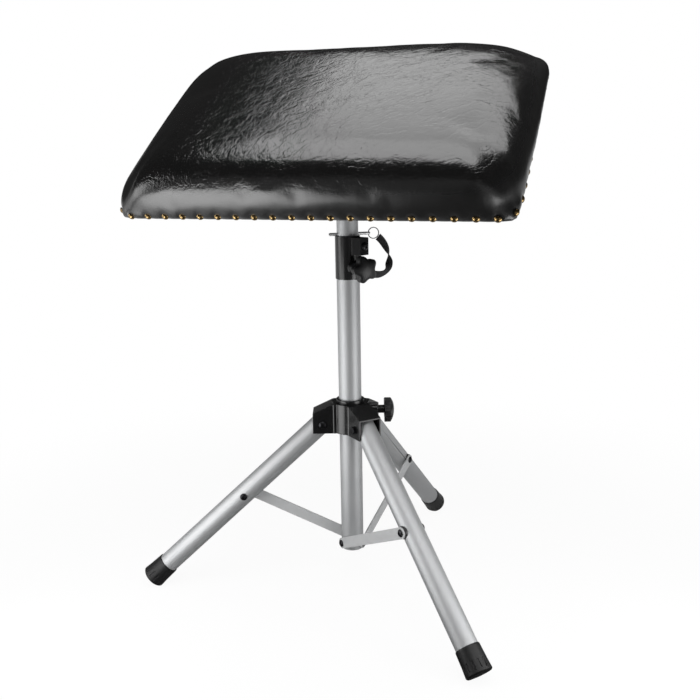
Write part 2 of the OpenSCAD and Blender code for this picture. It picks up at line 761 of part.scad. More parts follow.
module bracket_screws() {
    head_h = plate_screw_d * 0.5;
    shank_l = board_top + pad_drop - plate_low - board_t * 0.25;
    color("silver") on_bracket() at_plate_screws() translate([0, 0, plate_low]) {
        rotate([180, 0, 0]) button_head(plate_screw_d * 2, head_h);
        cylinder(d = plate_screw_d, h = shank_l);
    }
}

module tilt_bolt() {
    knob_side = ear_out + tilt_washer_t + face_gap + knob_neck + knob_h / 2 - loose_fit;
    color("silver") on_bracket() union() {
        translate([-ear_out, 0, 0]) rotate([0, 90, 0]) cylinder(d = tilt_bolt_d, h = ear_out + knob_side);
        translate([-ear_out - tilt_head_t, 0, 0]) rotate([0, 90, 0]) cylinder(d = tilt_bolt_d * 1.8, h = tilt_head_t, $fn = 6);
    }
}

module tilt_washer() {
    color("silver") on_bracket() translate([ear_out, 0, 0]) rotate([0, 90, 0])
        tube(tilt_bolt_d, tilt_bolt_d / 2 + seat_fit, 0, tilt_washer_t);
}

module tilt_knob() {
    color("black") on_bracket() translate([ear_out + tilt_washer_t + face_gap, 0, 0]) rotate([0, 90, 0])
        difference() {
            union() {
                star_knob();
                cylinder(d = tilt_bolt_d * 1.7, h = knob_neck + knob_dome);
            }
            translate([0, 0, -over]) cylinder(d = tilt_bolt_d + 2 * run_fit, h = knob_neck + knob_h / 2 + over);
        }
}

// Pad: a rounded rectangle, and the crowned form of the stuffed cushion
module rounded_plate(w, d, r, h) {
    linear_extrude(h) union() {
        square([w - 2 * r, d], center = true);
        square([w, d - 2 * r], center = true);
        for (i = [-1, 1], j = [-1, 1]) translate([i * (w / 2 - r), j * (d / 2 - r)]) circle(r = r);
    }
}

// Point of a rounded rectangle for shares u and v of its half width and half depth
function plan(u, v, w, d, r) = let (a = abs(u) * w / 2 - (w / 2 - r), b = abs(v) * d / 2 - (d / 2 - r),
    k = (a > 0 && b > 0) ? max(a, b) / norm([a, b]) : 1)
    [a > 0 && b > 0 ? sign(u) * (w / 2 - r + a * k) : u * w / 2,
     a > 0 && b > 0 ? sign(v) * (d / 2 - r + b * k) : v * d / 2];
function cell(i, n) = sin(-90 + 180 * i / n);
function crown(u, v) = let (power_w = u < 0 ? crown_power_left : crown_power_right,
    power_d = v < 0 ? crown_power_front : crown_power_back)
    pow(1 - pow(abs(u), power_w), crown_fall_power) * (1 - pow(abs(v), power_d)) * (1 - crown_lean_share * v);
function edge_cells(nu, nv) = concat(
    [for (i = [0 : nu - 1]) [cell(i, nu), -1]], [for (j = [0 : nv - 1]) [1, cell(j, nv)]],
    [for (i = [0 : nu - 1]) [-cell(i, nu), 1]], [for (j = [0 : nv - 1]) [-1, -cell(j, nv)]]);

// How far the side stands outside the pad's lower edge, and its corner radius, at height z
function side_out(z) = pad_draw_in * (1 - pow(1 - min(z / pad_side_h, 1), 2));
function side_r(z) = pad_foot_r + (pad_corner_r - pad_foot_r) * min(z / pad_side_h, 1);

// Closed cushion form: its skin lies inset inside the pad's outer face, and its flat base is at low
module cushion(inset, low) {
    nu = cell_count_w;
    nv = cell_count_d;
    function out(z) = 2 * side_out(z) - 2 * inset;
    function rim_at(u, v, z) = plan(u, v, pad_w + out(z), pad_d + out(z), side_r(z) - inset);
    rim = edge_cells(nu, nv);
    levels = low < foam_low ? [rim_mid, foam_low, low] : [rim_mid, foam_low];
    top = [for (j = [0 : nv], i = [0 : nu]) let (p = rim_at(cell(i, nu), cell(j, nv), pad_side_h))
        [p[0], p[1], pad_side_h + (pad_h - inset - pad_side_h) * crown(cell(i, nu), cell(j, nv))]];
    sides = [for (z = levels, e = rim) let (p = rim_at(e[0], e[1], z)) [p[0], p[1], z]];
    n = len(rim);
    top_n = len(top);
    base = top_n + (len(levels) - 1) * n;
    middle = base + n;
    function at(i, j) = j * (nu + 1) + i;
    rim_top = concat([for (i = [0 : nu - 1]) at(i, 0)], [for (j = [0 : nv - 1]) at(nu, j)],
        [for (i = [0 : nu - 1]) at(nu - i, nv)], [for (j = [0 : nv - 1]) at(0, nv - j)]);
    // The ring of points that lies above a ring of the sides
    function above(level, k) = level == 0 ? rim_top[k] : top_n + (level - 1) * n + k;
    faces = concat(
        [for (j = [0 : nv - 1], i = [0 : nu - 1]) each [[at(i, j), at(i + 1, j + 1), at(i + 1, j)],
            [at(i, j), at(i, j + 1), at(i + 1, j + 1)]]],
        [for (level = [0 : len(levels) - 1], k = [0 : n - 1]) let (m = (k + 1) % n, low_k = top_n + level * n + k,
            low_m = top_n + level * n + m)
            each [[above(level, k), above(level, m), low_m], [above(level, k), low_m, low_k]]],
        [for (k = [0 : n - 1]) [base + k, base + (k + 1) % n, middle]]);
    polyhedron(concat(top, sides, [[0, 0, low]]), faces);
}

module pad_board() {
    color("burlywood") difference() {
        on_pad() translate([0, 0, board_low])
            rounded_plate(pad_w - 2 * board_edge, pad_d - 2 * board_edge, board_corner_r, board_t);
        on_bracket() at_plate_screws() translate([0, 0, plate_top])
            cylinder(d = plate_screw_d + 2 * seat_fit, h = pad_drop);
    }
}

module pad_foam() {
    color("khaki") on_pad() cushion(cover_t + foam_gap, foam_low);
}

module pad_cover() {
    color("black") on_pad() difference() {
        cushion(0, 0);
        cushion(cover_t, cover_t);
        translate([0, 0, -over]) rounded_plate(pad_w - 2 * hem_w, pad_d - 2 * hem_w, pad_foot_r, 2 * over);
    }
}

// Place on a rounded rectangle's rim: x, y and the way that it faces, for a distance s from the
// middle of its front edge, on its right half
function half_rim(s, w, d, r) = let (a = w / 2 - r, q = PI * r / 2, e = d - 2 * r)
    s < a ? [s, -d / 2, -90]
    : s < a + q ? let (t = -90 + 90 * (s - a) / q) [a + r * cos(t), r - d / 2 + r * sin(t), t]
    : s < a + q + e ? [w / 2, r - d / 2 + s - a - q, 0]
    : s < a + 2 * q + e ? let (t = 90 * (s - a - q - e) / q) [a + r * cos(t), d / 2 - r + r * sin(t), t]
    : [a - (s - a - 2 * q - e), d / 2, 90];

// Nails in a row round the pad's lower edge, driven through the leather into the board's edge
module pad_nails() {
    w = pad_w + 2 * side_out(nail_up) - 2 * nail_seat;
    d = pad_d + 2 * side_out(nail_up) - 2 * nail_seat;
    r = side_r(nail_up) - nail_seat;
    half_l = w + d - 4 * r + PI * r;
    half_n = round(half_l / nail_pitch);
    for (i = [0 : half_n - 1], side = [0, 1]) let (p = half_rim((i + 0.5) * half_l / half_n, w, d, r))
        color("goldenrod") on_pad() mirror([side, 0, 0]) translate([p[0], p[1], nail_up])
            rotate([0, 0, p[2]]) rotate([0, 90, 0]) nail();
}

module nail() {
    union() {
        intersection() {
            translate([0, 0, nail_dome - nail_d * 0.6]) sphere(d = nail_d * 1.2);
            cylinder(d = nail_d, h = nail_dome);
        }
        translate([0, 0, -nail_l]) cylinder(d = nail_shank_d, h = nail_l + nail_dome / 2);
    }
}

module pad_dust_cloth() {
    inset = hem_w * 0.4;
    color("dimgray") difference() {
        on_pad() translate([0, 0, -cloth_t - layer_gap])
            rounded_plate(pad_w - 2 * inset, pad_d - 2 * inset, pad_foot_r, cloth_t);
        on_bracket() at_plate_screws() cylinder(d = plate_screw_d + 2 * seat_fit, h = 2 * pad_drop);
    }
}

column_tube();
column_plug();
brace_bolts();
collar();
collar_insert();
lug_screw();
collar_knob();
collar_clamp_screw();
height_pin();
split_ring();
pin_strap();
hub_spider();
hub_bushing();
hub_insert();
hub_bolts();
hub_nuts();
hub_knob();
hub_clamp_screw();
leg_tube(LEG_A);  // leg_a_tube
leg_tube(LEG_B);  // leg_b_tube
leg_tube(LEG_C);  // leg_c_tube
leg_plug(LEG_A);  // leg_a_plug
leg_plug(LEG_B);  // leg_b_plug
leg_plug(LEG_C);  // leg_c_plug
leg_foot(LEG_A);  // leg_a_foot
leg_foot(LEG_B);  // leg_b_foot
leg_foot(LEG_C);  // leg_c_foot
leg_saddle(LEG_A);  // leg_a_saddle
leg_saddle(LEG_B);  // leg_b_saddle
leg_saddle(LEG_C);  // leg_c_saddle
leg_bolt(LEG_A);  // leg_a_bolt
leg_bolt(LEG_B);  // leg_b_bolt
leg_bolt(LEG_C);  // leg_c_bolt
brace_bar(LEG_A);  // brace_a_bar
brace_bar(LEG_B);  // brace_b_bar
brace_bar(LEG_C);  // brace_c_bar
brace_screw(LEG_A);  // brace_a_screw
brace_screw(LEG_B);  // brace_b_screw
brace_screw(LEG_C);  // brace_c_screw
post_tube();
post_plug();
head_socket();
head_insert();
head_knob();
head_clamp_screw();
tilt_bracket();
tilt_bolt();
tilt_washer();
tilt_knob();
bracket_screws();
pad_board();
pad_foam();
pad_cover();
pad_nails();
pad_dust_cloth();
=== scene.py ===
import math

import bpy
from mathutils import Euler, Matrix, Vector, noise


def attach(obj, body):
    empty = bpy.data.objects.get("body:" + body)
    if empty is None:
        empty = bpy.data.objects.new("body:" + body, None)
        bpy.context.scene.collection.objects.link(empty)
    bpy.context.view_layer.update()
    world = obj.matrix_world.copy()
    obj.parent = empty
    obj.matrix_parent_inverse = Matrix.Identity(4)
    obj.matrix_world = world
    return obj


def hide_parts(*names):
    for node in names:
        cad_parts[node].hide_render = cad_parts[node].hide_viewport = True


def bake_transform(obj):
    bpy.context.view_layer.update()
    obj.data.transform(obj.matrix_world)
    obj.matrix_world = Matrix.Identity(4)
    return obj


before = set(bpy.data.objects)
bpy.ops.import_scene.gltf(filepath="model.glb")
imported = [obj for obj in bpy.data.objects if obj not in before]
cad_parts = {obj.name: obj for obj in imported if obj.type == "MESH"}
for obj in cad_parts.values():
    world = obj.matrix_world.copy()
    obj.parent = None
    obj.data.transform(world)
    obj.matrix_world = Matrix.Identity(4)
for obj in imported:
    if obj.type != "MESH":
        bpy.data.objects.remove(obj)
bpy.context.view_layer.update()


# The viewpoint: a metre in front of the stand, level with the pad and turned a little down,
# through a normal lens, as in a catalogue photograph.
yaw, pitch, roll = (math.radians(angle) for angle in (0.126, 12.958, -0.952))
sight = Vector((math.sin(yaw) * math.cos(pitch), math.cos(yaw) * math.cos(pitch), -math.sin(pitch)))
level = Vector((math.cos(yaw), -math.sin(yaw), 0))
upright = level.cross(sight)
bpy.ops.object.camera_add()
viewpoint = bpy.context.object
viewpoint.name = "viewpoint"
viewpoint.data.lens, viewpoint.data.sensor_width = 43.5263, 36
viewpoint.matrix_world = Matrix.Translation((-0.001612, -1.082935, 0.579527)) @ Matrix((
    level * math.cos(roll) + upright * math.sin(roll),
    upright * math.cos(roll) - level * math.sin(roll),
    -sight)).transposed().to_4x4()
bpy.context.scene.camera = viewpoint


# The studio: a pale floor that runs out into a white backdrop, two softboxes overhead, a low
# panel and a light to the left, a panel at each side of the column, and a dark room behind the
# camera. In reflections the floor is bright in some places only, as a real studio's would be.
class Shade:
    """A socket of a material. Arithmetic on it adds the nodes that work it out."""

    def __init__(self, tree, socket):
        self.tree, self.socket = tree, socket

    def node(self, kind, settings, inputs, out=0):
        made = self.tree.nodes.new(kind)
        for key, value in settings.items():
            setattr(made, key, value)
        for key, value in inputs.items():
            if isinstance(value, Shade):
                self.tree.links.new(value.socket, made.inputs[key])
            else:
                made.inputs[key].default_value = value
        return Shade(self.tree, made.outputs[out])

    def math(self, operation, *others):
        return self.node("ShaderNodeMath", {"operation": operation}, dict(enumerate((self, *others))))

    def __add__(self, other): return self.math("ADD", other)
    def __sub__(self, other): return self.math("SUBTRACT", other)
    def __mul__(self, other): return self.math("MULTIPLY", other)
    __radd__, __rmul__ = __add__, __mul__

    def most(self, other):
        return self.math("MAXIMUM", other)

    def axis(self, name):
        return self.node("ShaderNodeSeparateXYZ", {}, {0: self}, out="xyz".index(name))

    def ramp(self, low, high, at_low=0.0, at_high=1.0):
        """This value's step from low to high, as a soft change from at_low to at_high."""
        return self.node("ShaderNodeMapRange", {"interpolation_type": "SMOOTHSTEP"},
                         {0: self, 1: low, 2: high, 3: at_low, 4: at_high})

    def noise(self, scale, detail=2.0, rough=0.5):
        return self.node("ShaderNodeTexNoise", {},
                         {"Vector": self, "Scale": scale, "Detail": detail, "Roughness": rough})

    def placed(self, turn=(0, 0, 0), scale=(1, 1, 1)):
        return self.node("ShaderNodeMapping", {}, {"Vector": self, "Rotation": turn, "Scale": scale})

    def blend(self, low, high):
        """A colour between two, by this value."""
        return self.node("ShaderNodeMix", {"data_type": "RGBA"}, {0: self, 6: low, 7: high}, out=2)

    def bump(self, depth, strength):
        return self.node("ShaderNodeBump", {}, {"Height": self, "Distance": depth, "Strength": strength})

    def feed(self, shader, socket):
        self.tree.links.new(self.socket, shader.inputs[socket])


def given(tree, kind, name):
    """A value that a material is given, such as the place on the piece, as a Shade."""
    return Shade(tree, tree.nodes.new(kind).outputs[name])


def deselect():
    bpy.ops.object.select_all(action="DESELECT")


world = bpy.data.worlds.new("studio_room")
bpy.context.scene.world = world
world.use_nodes = True
room = world.node_tree
seen = given(room, "ShaderNodeLightPath", "Is Camera Ray")
heading = given(room, "ShaderNodeTexCoord", "Generated")
backdrop = heading.axis("y").ramp(0.30, 0.85) * heading.axis("z").ramp(0.0, 0.14, 1.0, 0.0)
seen.most(0.03 + 0.70 * backdrop).feed(room.nodes["Background"], "Strength")
room.nodes["Background"].inputs["Color"].default_value = (1, 1, 1, 1)

bpy.ops.mesh.primitive_plane_add(size=40)
floor = bpy.context.object
floor.name = "studio_floor"
floor_paint = bpy.data.materials.new("pale_floor")
floor_paint.use_nodes = True
tree = floor_paint.node_tree
place = given(tree, "ShaderNodeTexCoord", "Object")
camera_ray, glossy_ray, through_ray = (
    given(tree, "ShaderNodeLightPath", f"Is {kind} Ray") for kind in ("Camera", "Glossy", "Transmission"))
far = place.node("ShaderNodeVectorMath", {"operation": "LENGTH"}, {0: place}, out=1)
floor_x, floor_y = place.axis("x"), place.axis("y")
around = (floor_x.ramp(-0.56, -0.20, 0.46, 0.0) * far.ramp(0.75, 1.05, 1.0, 0.12)
          + floor_x.ramp(0.25, 0.60, 0.05, 0.22) + floor_y.ramp(-1.7, -0.9, 0.07, 0.0))
behind = around.most(floor_y.ramp(-0.25, 0.60, 0.0, 0.7))
bare_share = camera_ray * far.ramp(0.30, 1.0, 0.94, 1.0)
white_share = bare_share.most(glossy_ray.most(through_ray))
matt = place.node("ShaderNodeBsdfDiffuse", {}, {"Color": (0.86, 0.86, 0.86, 1)})
bright = place.node("ShaderNodeEmission", {}, {"Color": (1, 1, 1, 1), "Strength": camera_ray.most(behind)})
both = place.node("ShaderNodeMixShader", {}, {0: white_share, 1: matt, 2: bright})
tree.nodes.remove(tree.nodes["Principled BSDF"])
both.feed(tree.nodes["Material Output"], "Surface")
floor.data.materials.append(floor_paint)


def softbox(name, middle, aim, width, depth, radiance, turn=None):
    """A flat soft light that faces a point, or straight up or down and turned by some degrees."""
    bpy.ops.object.light_add(type="AREA", location=middle)
    lamp = bpy.context.object
    lamp.name = name
    lamp.data.shape, lamp.data.size, lamp.data.size_y = "RECTANGLE", width, depth
    lamp.data.energy = radiance * math.pi * width * depth
    if turn is None:
        lamp.rotation_euler = (Vector(aim) - Vector(middle)).to_track_quat("-Z", "Y").to_euler()
    else:
        lamp.rotation_euler = (math.pi if aim[2] > middle[2] else 0, 0, math.radians(turn))
    lamp.visible_camera = False


softbox("overhead_softbox", (0.142, -0.307, 1.35), (0.142, -0.307, 0.5), 1.26, 1.39, 2.6, turn=-28)
softbox("front_softbox", (-0.03, -0.62, 1.34), (-0.03, -0.62, 0.5), 1.26, 0.70, 1.1, turn=-28)
softbox("low_panel", (-0.835, -0.346, 0.04), (-0.835, -0.346, 1.0), 0.75, 0.80, 1.3, turn=-28)
softbox("left_panel", (-0.41, -0.26, 0.20), (0.0, 0.0, 0.24), 0.34, 0.38, 3.2)
softbox("right_panel", (0.43, -0.29, 0.20), (0.0, 0.0, 0.24), 0.32, 0.38, 3.6)
softbox("leg_light", (-0.78, -0.12, 0.45), (-0.16, 0.0, 0.13), 0.35, 0.35, 2.8)


# Column: a drawn aluminium tube, satin anodised. Its lower end holds a plastic plug, and
# three pan-head bolts fix the braces to it.
def broken_edges(node, body, finish, edge=0.0003):
    """A merged copy of a frame part with its sharp edges broken, in its own finish."""
    deselect()
    sharp = math.radians(35)
    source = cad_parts[node]
    piece = bpy.data.objects.new(node + "_piece", source.data.copy())
    bpy.context.collection.objects.link(piece)
    bpy.context.view_layer.objects.active = piece
    piece.select_set(True)
    bpy.ops.mesh.customdata_custom_splitnormals_clear()
    bpy.ops.object.mode_set(mode="EDIT")
    bpy.ops.mesh.select_all(action="SELECT")
    bpy.ops.mesh.remove_doubles(threshold=2e-6)
    bpy.ops.mesh.dissolve_limited(angle_limit=math.radians(0.6))
    bpy.ops.object.mode_set(mode="OBJECT")
    rounding = piece.modifiers.new("broken_edge", "BEVEL")
    rounding.limit_method, rounding.angle_limit = "ANGLE", sharp
    rounding.width, rounding.segments, rounding.use_clamp_overlap = edge, 2, False
    bpy.ops.object.modifier_apply(modifier="broken_edge")
    bpy.ops.object.shade_smooth_by_angle(angle=sharp)
    even = piece.modifiers.new("even_faces", "WEIGHTED_NORMAL")
    even.keep_sharp = True
    bpy.ops.object.modifier_apply(modifier="even_faces")
    piece.data.materials.clear()
    piece.data.materials.append(finish)
    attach(piece, body)
    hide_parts(node)
    return piece


def finish(name, **constants):
    """A material with its plain values set: itself, its shader, and the place on its piece."""
    made = bpy.data.materials.new(name)
    made.use_nodes = True
    shader = made.node_tree.nodes["Principled BSDF"]
    for key, value in constants.items():
        shader.inputs[key.replace("_", " ")].default_value = value
    return made, shader, given(made.node_tree, "ShaderNodeTexCoord", "Object")


def satin_aluminium(name, turn=(0, 0, 0), rub=0.0):
    """Anodised tube: fine grit-blasted speckle with faint draw lines along the tube. The turn
    brings a leaning tube upright, and the rub makes its draw lines deeper."""
    made, shader, where = finish(name, Metallic=0.72)
    speckle = where.noise(2600, 2)
    drawn = where.placed(turn).placed(scale=(700, 700, 9)).noise(1, 2)
    cloud = where.noise(28, 2)
    tone = cloud * 0.6 + drawn * 0.4
    tone.blend((0.44, 0.45, 0.46, 1), (0.53, 0.535, 0.54, 1)).feed(shader, "Base Color")
    (0.47 + 0.10 * speckle + 0.06 * drawn + 0.03 * cloud).feed(shader, "Roughness")
    (speckle * 0.7 + drawn * (0.3 + rub)).bump(0.00004, 0.5).feed(shader, "Normal")
    return made


def black_screw(name):
    """Blackened steel: dark, half glossy, a little worn where a driver turns it."""
    made, shader, where = finish(name, Metallic=0.85)
    worn = where.noise(900, 3).ramp(0.58, 0.72)
    worn.blend((0.022, 0.022, 0.024, 1), (0.10, 0.10, 0.11, 1)).feed(shader, "Base Color")
    (0.26 + 0.12 * where.noise(1500, 2)).feed(shader, "Roughness")
    return made


def moulded(name, colour, rough):
    """Moulded plastic with a fine spark-eroded grain."""
    made, shader, where = finish(name, Specular_IOR_Level=0.45)
    fine = where.noise(3800, 2)
    cloud = where.noise(120, 2)
    darker, lighter = ((*(c * share for c in colour), 1) for share in (0.85, 1.2))
    cloud.blend(darker, lighter).feed(shader, "Base Color")
    (rough - 0.05 + 0.1 * cloud).feed(shader, "Roughness")
    fine.bump(0.00004, 0.6).feed(shader, "Normal")
    return made


column_finish = satin_aluminium("column_aluminium")
screw_finish = black_screw("blackened_screw")
plug_finish = moulded("grey_plug_plastic", (0.22, 0.22, 0.225), 0.5)
broken_edges("column_tube", "column", column_finish)
broken_edges("column_plug", "column", plug_finish)
broken_edges("brace_bolts", "column", screw_finish, 0.0002)


# Collar: a black powder-coated sleeve on the column's mouth, with a boss for its clamp
# screw, a brass insert in the boss, and a square lug with a socket screw through it.
def turned_metal(name, low, high, rough):
    """Bare metal turned on a lathe: fine rings of tool marks and a thin tarnish."""
    made, shader, where = finish(name, Metallic=1.0)
    marks = where.noise(1800, 2)
    marks.blend((*low, 1), (*high, 1)).feed(shader, "Base Color")
    (rough + 0.12 * marks).feed(shader, "Roughness")
    marks.bump(0.00003, 0.4).feed(shader, "Normal")
    return made


paint_finish, shader, where = finish("black_powder_coat", Specular_IOR_Level=0.5)
peel = where.noise(420, 3, 0.6)
dust = where.noise(90, 4, 0.6)
dust.blend((0.0045, 0.0045, 0.0048, 1), (0.0085, 0.0085, 0.009, 1)).feed(shader, "Base Color")
(0.21 + 0.03 * dust + 0.02 * peel).feed(shader, "Roughness")
peel.bump(0.00003, 0.3).feed(shader, "Normal")
brass_finish = turned_metal("insert_brass_finish", (0.50, 0.36, 0.15), (0.68, 0.51, 0.24), 0.24)
steel_finish = turned_metal("zinc_steel", (0.44, 0.45, 0.46), (0.58, 0.59, 0.60), 0.24)
lug_finish, shader, where = finish("dull_black_lug", Specular_IOR_Level=0.12)
cast = where.noise(520, 3, 0.6)
cast.blend((0.0045, 0.0045, 0.0048, 1), (0.0095, 0.0095, 0.010, 1)).feed(shader, "Base Color")
(0.46 + 0.2 * cast).feed(shader, "Roughness")
cast.bump(0.00010, 0.5).feed(shader, "Normal")
collar = broken_edges("collar", "column", paint_finish, 0.0006)
collar.data.materials.append(lug_finish)
lug_low, lug_in, lug_left = 0.452, 0.0175, 0.006
for face in collar.data.polygons:
    middle = face.center
    face.material_index = int(middle.z > lug_low and middle.xy.length > lug_in and middle.x > lug_left)
broken_edges("collar_insert", "column", brass_finish, 0.0002)
broken_edges("lug_screw", "column", screw_finish, 0.00025)


# Star knobs: moulded in one black plastic piece, with a round neck, five soft lobes and a
# domed face. Each is pressed onto its clamp screw.
knob_finish = moulded("knob_plastic", (0.0085, 0.0085, 0.009), 0.42)


def pick_faces(piece, wanted):
    """Edit mode on a piece, with the faces selected whose way up is wanted."""
    bpy.ops.object.mode_set(mode="EDIT")
    bpy.ops.mesh.select_mode(type="FACE")
    bpy.ops.mesh.select_all(action="DESELECT")
    bpy.ops.object.mode_set(mode="OBJECT")
    for face in piece.data.polygons:
        face.select = wanted(face.normal.z)
    bpy.ops.object.mode_set(mode="EDIT")


def star_knob(name, body, node, place, neck_r=0.00546):
    """Turned as a plain round knob, then drawn in between its lobes."""
    deselect()
    knob_r, neck, rim, tip = 0.0174, 0.009, 0.01705, 0.022
    lobes, first_dip, drawn_in, waist_r = 5, math.radians(18), 0.275, 0.0075
    soft = math.radians(40)
    bpy.ops.mesh.primitive_cylinder_add(vertices=100, radius=knob_r, depth=rim - neck,
                                        end_fill_type="NGON", location=(0, 0, (rim + neck) / 2))
    knob = bpy.context.object
    knob.name = name
    bpy.ops.object.transform_apply(location=True)
    for z_side, cuts in ((-1, ((0.0030, 0), (knob_r - 0.003 - neck_r, 0))),
                         (1, tuple((0.0021, 0) for _ in range(7)))):
        pick_faces(knob, lambda up: up * z_side > 0.9)
        for thickness, depth in cuts:
            bpy.ops.mesh.inset(thickness=thickness, depth=depth, use_boundary=True)
        if z_side < 0:
            bpy.ops.mesh.extrude_region_move(TRANSFORM_OT_translate={"value": (0, 0, -neck)})
        bpy.ops.object.mode_set(mode="OBJECT")
    for point in knob.data.vertices:
        reach = point.co.xy.length
        if point.co.z > rim - 1e-5:
            point.co.z = tip - (tip - rim) * (reach / knob_r) ** 2.2
        if reach > neck_r + 0.001:
            angle = math.atan2(point.co.y, point.co.x) + first_dip
            dip = abs(math.sin(lobes / 2 * angle)) ** 2.2
            share = min(1, max(0, (reach - waist_r) / (knob_r - waist_r)))
            point.co.xy *= 1 - drawn_in * dip * share ** 1.6
    rounding = knob.modifiers.new("soft_rim", "BEVEL")
    rounding.limit_method, rounding.angle_limit = "ANGLE", soft
    rounding.width, rounding.segments = 0.0017, 4
    bpy.ops.object.modifier_apply(modifier="soft_rim")
    bpy.ops.object.shade_smooth_by_angle(angle=soft)
    knob.data.transform(place)
    knob.data.materials.append(knob_finish)
    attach(knob, body)
    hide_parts(node)


def round_column(turn, out, up):
    """The place of a knob: outwards from the column at an angle, a reach and a height."""
    return (Matrix.Rotation(math.radians(turn), 4, "Z") @ Matrix.Translation((out, 0, up))
            @ Matrix.Rotation(math.radians(90), 4, "Y"))


collar_knob_turn, collar_knob_height = -60, 0.44095
star_knob("collar_star_knob", "collar_knob", "collar_knob",
          round_column(collar_knob_turn, 0.02744, collar_knob_height))
broken_edges("collar_clamp_screw", "collar_knob", steel_finish, 0.0003)


# Height pin: a chromed rod through the post and just above the collar. A split ring in
# its end holds a short strap of black webbing, which keeps the pin with the stand.
pin_turn, pin_height = math.radians(15), 0.48205
pin_way = Vector((math.cos(pin_turn), math.sin(pin_turn), 0))
chrome, shader, where = finish("pin_chrome", Metallic=0.7)
rub = where.noise(700, 3)
rub.blend((0.74, 0.745, 0.75, 1), (0.86, 0.865, 0.87, 1)).feed(shader, "Base Color")
(0.24 + 0.16 * rub).feed(shader, "Roughness")
broken_edges("height_pin", "lock_pin", chrome, 0.00035)


def join(pieces):
    """Several objects made one; the first keeps its name."""
    deselect()
    for piece in pieces:
        piece.select_set(True)
    bpy.context.view_layer.objects.active = pieces[0]
    bpy.ops.object.join()
    return bpy.context.object


ring_r, ring_wire_r, ring_reach = 0.007, 0.00055, 0.0345
deselect()
coils = []
for side in (-1, 1):
    bpy.ops.mesh.primitive_torus_add(major_radius=ring_r, minor_radius=ring_wire_r,
                                     major_segments=72, minor_segments=12)
    coils.append(bpy.context.object)
    coils[-1].data.transform(Matrix.Rotation(math.radians(1.1 * side), 4, "X")
                             @ Matrix.Translation((0, 0, 0.00044 * side)))
ring = join(coils)
ring.name = "split_ring_piece"
bpy.ops.object.shade_smooth()
ring.data.transform(Matrix.Rotation(pin_turn, 4, "Z") @ Matrix.Translation((ring_reach, 0, pin_height))
                    @ Matrix.Rotation(math.radians(90), 4, "X"))
ring.data.materials.append(turned_metal("ring_steel", (0.16, 0.16, 0.165), (0.26, 0.26, 0.27), 0.22))
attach(ring, "lock_pin")
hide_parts("split_ring")

strap_w, strap_t, strap_length, strap_steps = 0.0095, 0.0014, 0.088, 72
loop_r, loop_band = 0.00576, 0.0034
leave, loop_leave = math.radians(40), math.radians(27)
ring_way = pin_way * math.cos(leave) - Vector((0, 0, math.sin(leave)))
ring_along = pin_way * math.sin(leave) + Vector((0, 0, math.cos(leave)))
strap_start = pin_way * ring_reach + Vector((0, 0, pin_height)) + ring_way * (ring_r + 0.00065 + 0.0003)
knob_turn = math.radians(collar_knob_turn)
eye_way = Vector((math.cos(knob_turn), math.sin(knob_turn), 0))
eye_side = Vector((-math.sin(knob_turn), math.cos(knob_turn), 0))
eye_at = eye_way * (0.02714 + 0.0006 + strap_t / 2) + Vector((0, 0, collar_knob_height))
eye_leave = eye_side * math.cos(loop_leave) - Vector((0, 0, math.sin(loop_leave)))
strap_end = eye_at + eye_leave * (loop_r + strap_t)


def strap_point(t):
    """The strap's middle line, from the ring to the loop, as a curve with two handles."""
    a, b = strap_start, strap_start + ring_way * 0.028
    c, d = strap_end + eye_leave * 0.0539, strap_end
    return a * (1 - t) ** 3 + b * 3 * t * (1 - t) ** 2 + c * 3 * t * t * (1 - t) + d * t ** 3


half_round = ((-1, -0.6), (-0.94, -1), (-0.5, -1), (0, -1), (0.5, -1), (0.94, -1), (1, -0.6))
section = half_round + tuple((-across, -lift) for across, lift in half_round)
corners, flat_way = [], []
for i in range(strap_steps + 1):
    t = i / strap_steps
    heading = (strap_point(min(t + 0.01, 1)) - strap_point(max(t - 0.01, 0))).normalized()
    hint = (ring_along * (1 - t) ** 2 + Vector((0.3, 1, 0)) * 2 * t * (1 - t)
            - eye_way.cross(eye_leave) * t * t)
    flat = (hint - heading * hint.dot(heading)).normalized()
    share = min(max((t - 0.14) / 0.6, 0), 1)
    twist = -math.pi * share * share * (3 - 2 * share)
    over = flat * math.cos(twist) + heading.cross(flat) * math.sin(twist)
    thick = heading.cross(over)
    for across, lift in section:
        corners.append(strap_point(t) + over * strap_w / 2 * across + thick * strap_t / 2 * lift)
        flat_way.append((across * strap_w / 2, t * strap_length))
count = len(section)
faces = [(i * count + k, i * count + (k + 1) % count,
          (i + 1) * count + (k + 1) % count, (i + 1) * count + k)
         for i in range(strap_steps) for k in range(count)]
faces += [tuple(range(count))[::-1], tuple(strap_steps * count + k for k in range(count))]
strap_mesh = bpy.data.meshes.new("strap")
strap_mesh.from_pydata(corners, [], faces)
strap = bpy.data.objects.new("webbing_strap", strap_mesh)
bpy.context.collection.objects.link(strap)
weave_map = strap_mesh.uv_layers.new(name="weave")
for loop in strap_mesh.loops:
    weave_map.data[loop.index].uv = flat_way[loop.vertex_index]
deselect()
bpy.ops.mesh.primitive_cylinder_add(vertices=56, radius=loop_r + loop_band, depth=strap_t)
eye = bpy.context.object
pick_faces(eye, lambda up: abs(up) > 0.9)
bpy.ops.mesh.inset(thickness=loop_band)
bpy.ops.mesh.bridge_edge_loops()
bpy.ops.object.mode_set(mode="OBJECT")
eye_turn = Matrix.Rotation(knob_turn, 4, "Z") @ Matrix.Rotation(math.radians(90), 4, "Y")
eye.data.transform(Matrix.Translation(eye_at) @ eye_turn)
join([strap, eye])


